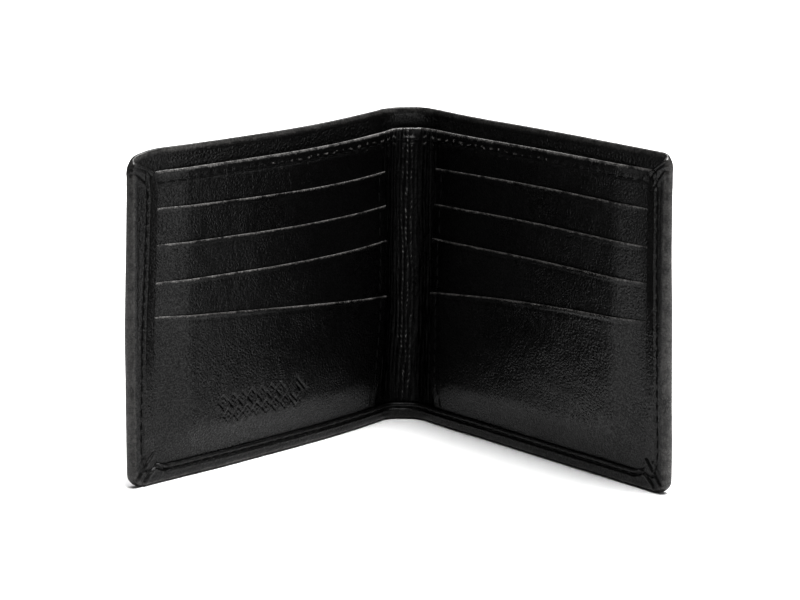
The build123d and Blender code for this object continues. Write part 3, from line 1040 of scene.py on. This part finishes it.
def leather(name, dark, light, rubbed_and_highlit, roughness, pebble, pebble_depth):
    """Black leather: glossy pebbled grain, pores, stretch lines, scuffed edges and painted highlights on
    ridge tops.
    """
    nodes = Nodes(name)
    flat = nodes.attribute("flat", "Vector")
    rubbing_and_highlight = nodes.attribute("wear_and_highlight", "Fac")
    creased = nodes.attribute("crumple", "Fac")

    drift = nodes.add("ShaderNodeTexNoise", {"Vector": flat, "Scale": 260.0, "Detail": 2.0}).outputs["Color"]
    drift = nodes.scaled(drift, (0.0014, 0.0014, 0.0014))
    drifted = nodes.add("ShaderNodeVectorMath", {0: flat, 1: drift}, operation="ADD").outputs[0]
    cells = nodes.add("ShaderNodeTexVoronoi", {"Vector": drifted, "Scale": 1000.0 / pebble},
                      feature="DISTANCE_TO_EDGE").outputs["Distance"]
    pebbles = nodes.span(cells, 0.0, 0.4)
    pores = nodes.noise(flat, 3300.0, 3.0)
    stretch = nodes.noise(nodes.scaled(drifted, (1.0, 0.3, 1.0)), 1250.0, 3.0)
    patches = nodes.noise(flat, 62.0, 3.0)
    clouds = nodes.noise(flat, 21.0, 3.0)

    # Scuffed places, and the painted highlights on ridge tops, go towards the lighter third colour.
    worn_through = nodes.span(nodes.noise(flat, 420.0, 5.0), 0.32, 0.6, 0.65, 1.0)
    wear_and_highlight = nodes.times(rubbing_and_highlight, worn_through)
    tone = nodes.plus(nodes.times(patches, 0.3), nodes.times(pebbles, 0.2))
    tone = nodes.math("ADD", tone, nodes.times(wear_and_highlight, 0.68), clamp=True)

    gloss = nodes.span(clouds, 0.3, 0.7, roughness - 0.05, roughness + 0.06)
    gloss = nodes.plus(gloss, nodes.times(pores, 0.06))
    gloss = nodes.math("SUBTRACT", gloss, nodes.times(wear_and_highlight, 0.04))
    # Creases lie in the dark, but for their ridge tops, which are more specular where the painted highlights
    # lie.
    sheen = nodes.span(creased, 0.35, 1.0, 0.46, 0.1)
    specks = nodes.span(nodes.noise(flat, 2300.0, 2.0), 0.34, 0.7, 0.66, 1.42)
    ridges = nodes.times(nodes.times(wear_and_highlight, 0.45), creased)
    sheen = nodes.plus(nodes.times(sheen, specks), ridges)

    # Rubbing presses the grain flat.
    pressed = nodes.span(rubbing_and_highlight, 0.0, 0.25, 1.0, 0.25)
    grained = nodes.times(nodes.span(patches, 0.3, 0.65, 0.35, 1.0), pressed)
    stretched = nodes.times(nodes.span(patches, 0.62, 0.35, 0.3, 1.0), pressed)
    wrinkles = nodes.noise(nodes.scaled(flat, (1.0, 0.3, 1.0)), 1100.0, 4.0, 0.6)
    crumpled = nodes.times(nodes.span(wrinkles, 0.45, 0.75), creased)
    soft_waves = nodes.noise(nodes.scaled(flat, (1.0, 0.6, 1.0)), 210.0, 3.0)
    grain = None
    for relief, depth, strength in (
            (pebbles, pebble_depth, grained), (stretch, pebble_depth * 1.4, stretched),
            (pores, 0.000016, 0.8), (crumpled, 0.00016, 1.0), (soft_waves, 0.0003, 0.4)):
        grain = nodes.bump(relief, depth, strength, grain)
    return nodes.finish(nodes.tint(tone, dark, light, rubbed_and_highlit), gloss, grain, {"Specular IOR Level": sheen})


def cloth(name, dark, light, thread):
    """Plain weave of fine threads, thread millimetres apart."""
    nodes = Nodes(name)
    flat = nodes.attribute("flat", "Vector")
    x, y, _ = nodes.add("ShaderNodeSeparateXYZ", {"Vector": flat}).outputs
    per_metre = math.pi * 1000 / thread
    across, up = (nodes.math("SINE", nodes.times(place, per_metre)) for place in (x, y))
    ribs = nodes.plus(nodes.math("ABSOLUTE", across), nodes.math("ABSOLUTE", up))
    weave = nodes.plus(nodes.times(nodes.times(across, up), 0.5), ribs)
    slubs = nodes.noise(nodes.scaled(flat, (1.0, 9.0, 1.0)), 240.0, 3.0)
    tone = nodes.times(nodes.span(weave, 0.2, 2.2), nodes.span(slubs, 0.2, 0.8, 0.5, 1.0))
    roughness = nodes.span(slubs, 0.2, 0.8, 0.6, 0.78)
    return nodes.finish(
        nodes.tint(tone, dark, light), roughness, nodes.bump(weave, 0.00006, 0.9), {"Sheen Weight": 0.15})


def board_material():
    """Bonded-fibre board: matted short fibres."""
    nodes = Nodes("bonded_fibre_board")
    flat = nodes.attribute("flat", "Vector")
    fibres = nodes.noise(nodes.scaled(flat, (1.0, 3.5, 1.0)), 900.0, 6.0, 0.7)
    flecks = nodes.noise(flat, 2600.0, 4.0)
    tone = nodes.plus(nodes.times(fibres, 0.7), nodes.times(flecks, 0.3))
    colour = nodes.tint(tone, (0.05, 0.045, 0.04), (0.14, 0.13, 0.12))
    return nodes.finish(colour, nodes.span(flecks, 0.2, 0.8, 0.8, 0.95), nodes.bump(fibres, 0.0001, 0.7))


def thread_material():
    """Black polyester thread with twisted plies."""
    nodes = Nodes("twisted_thread")
    flat = nodes.attribute("flat", "Vector")
    x, y, _ = nodes.add("ShaderNodeSeparateXYZ", {"Vector": flat}).outputs
    climb = nodes.plus(nodes.times(x, 7.5e3), nodes.times(y, 1.154e4))
    plies = nodes.math("ABSOLUTE", nodes.math("SINE", climb))
    hairs = nodes.noise(nodes.scaled(flat, (4.0, 1.0, 1.0)), 6000.0, 3.0)
    tone = nodes.times(plies, nodes.span(hairs, 0.2, 0.8, 0.6, 1.0))
    colour = nodes.tint(tone, (0.0008, 0.0008, 0.0008), (0.003, 0.0029, 0.0031))
    roughness = nodes.span(hairs, 0.2, 0.8, 0.45, 0.62)
    return nodes.finish(colour, roughness, nodes.bump(plies, 0.00008, 0.9), {"Specular IOR Level": 0.25})


# The third colour is the scuffed one; on the inner leather it also paints the highlights on the spine's ridge
# tops and the seam's puckers.
SHELL_LEATHER = leather("shell_leather", (0.001, 0.0009, 0.001), (0.006, 0.0056, 0.0055),
                        (0.06, 0.058, 0.056), 0.31, 1.2, 0.00015)
INNER_LEATHER = leather("inner_leather", (0.0006, 0.0005, 0.0006), (0.003, 0.0028, 0.003),
                        (0.18, 0.175, 0.171), 0.29, 1.0, 0.00008)
LINING_CLOTH = cloth("lining_cloth", (0.002, 0.002, 0.0024), (0.012, 0.012, 0.0132), 0.28)
BOARD = board_material()
THREAD = thread_material()


# ---- studio ----
def make_floor():
    size = 4.0
    corners = [(-size, -size, 0), (size, -size, 0), (size, size, 0), (-size, size, 0)]
    mesh = bpy.data.meshes.new("floor")
    mesh.from_pydata(corners, [], [(0, 1, 2, 3)])
    floor = put_in_scene("floor", mesh)
    nodes = Nodes("pale_floor")
    place = nodes.add("ShaderNodeTexCoord").outputs["Object"]
    tooth = nodes.noise(place, 900.0, 3.0)
    colour = nodes.tint(tooth, (0.9, 0.9, 0.9), (0.94, 0.94, 0.94))
    roughness = nodes.span(tooth, 0.2, 0.8, 0.75, 0.85)
    mesh.materials.append(nodes.finish(colour, roughness, nodes.bump(tooth, 0.00005, 0.3)))


def make_softbox(name, place, size, power, target=(0.0, 0.0, 0.05)):
    """Rectangular lamp that faces its target and isn't seen itself. Metres and watts."""
    light = bpy.data.lights.new(name, "AREA")
    light.shape = "RECTANGLE"
    light.size, light.size_y = size
    light.energy = power
    lamp = put_in_scene(name, light)
    lamp.location = place
    lamp.visible_camera = False
    lamp.rotation_euler = (Vector(target) - Vector(place)).to_track_quat("-Z", "Y").to_euler()


def make_studio():
    make_floor()
    world = bpy.data.worlds.new("studio")
    world.use_nodes = True
    ambient = world.node_tree.nodes["Background"]
    ambient.inputs["Color"].default_value = (1.0, 1.0, 1.0, 1.0)
    ambient.inputs["Strength"].default_value = 0.1
    scene.world = world
    make_softbox("overhead_softbox", (0.27, -0.06, 1.2), (0.95, 0.8), 37.0, (0.0, 0.0, 0.0))
    make_softbox("right_softbox", (0.75, -0.22, 0.25), (0.8, 0.45), 2.2)
    make_softbox("left_softbox", (-0.75, -0.22, 0.25), (0.8, 0.45), 0.6)
    make_softbox("backdrop_softbox", (0.0, 1.8, 1.2), (2.6, 1.8), 50.0, (0.0, 1.8, 0.0))
    scene.view_settings.view_transform = "Standard"
    scene.view_settings.gamma = 0.7


def make_camera():
    lens = bpy.data.cameras.new("camera")
    lens.lens = 120.0
    lens.sensor_width = 36.0
    pitch, yaw, roll = np.radians([12.37, 2.05, 0.1]).tolist()
    distance = 769.0
    back = Vector((math.sin(yaw) * math.cos(pitch), -math.cos(yaw) * math.cos(pitch), math.sin(pitch)))
    target = Vector((-1.0, FOLD_Y - 40.0, 45.8))
    camera = put_in_scene("camera", lens)
    camera.location = (target + back * distance) * MM
    upright = (-back).to_track_quat("-Z", "Y")
    camera.rotation_euler = (upright @ Quaternion((0, 0, 1), roll)).to_euler()
    scene.camera = camera


make_camera()
make_studio()
for word, side in SIDES.items():
    for make in (make_hide, make_board, make_card_panel, make_note_lining, make_inner_lining,
                 make_pocket_linings, make_facings, make_thread):
        make(word, side)
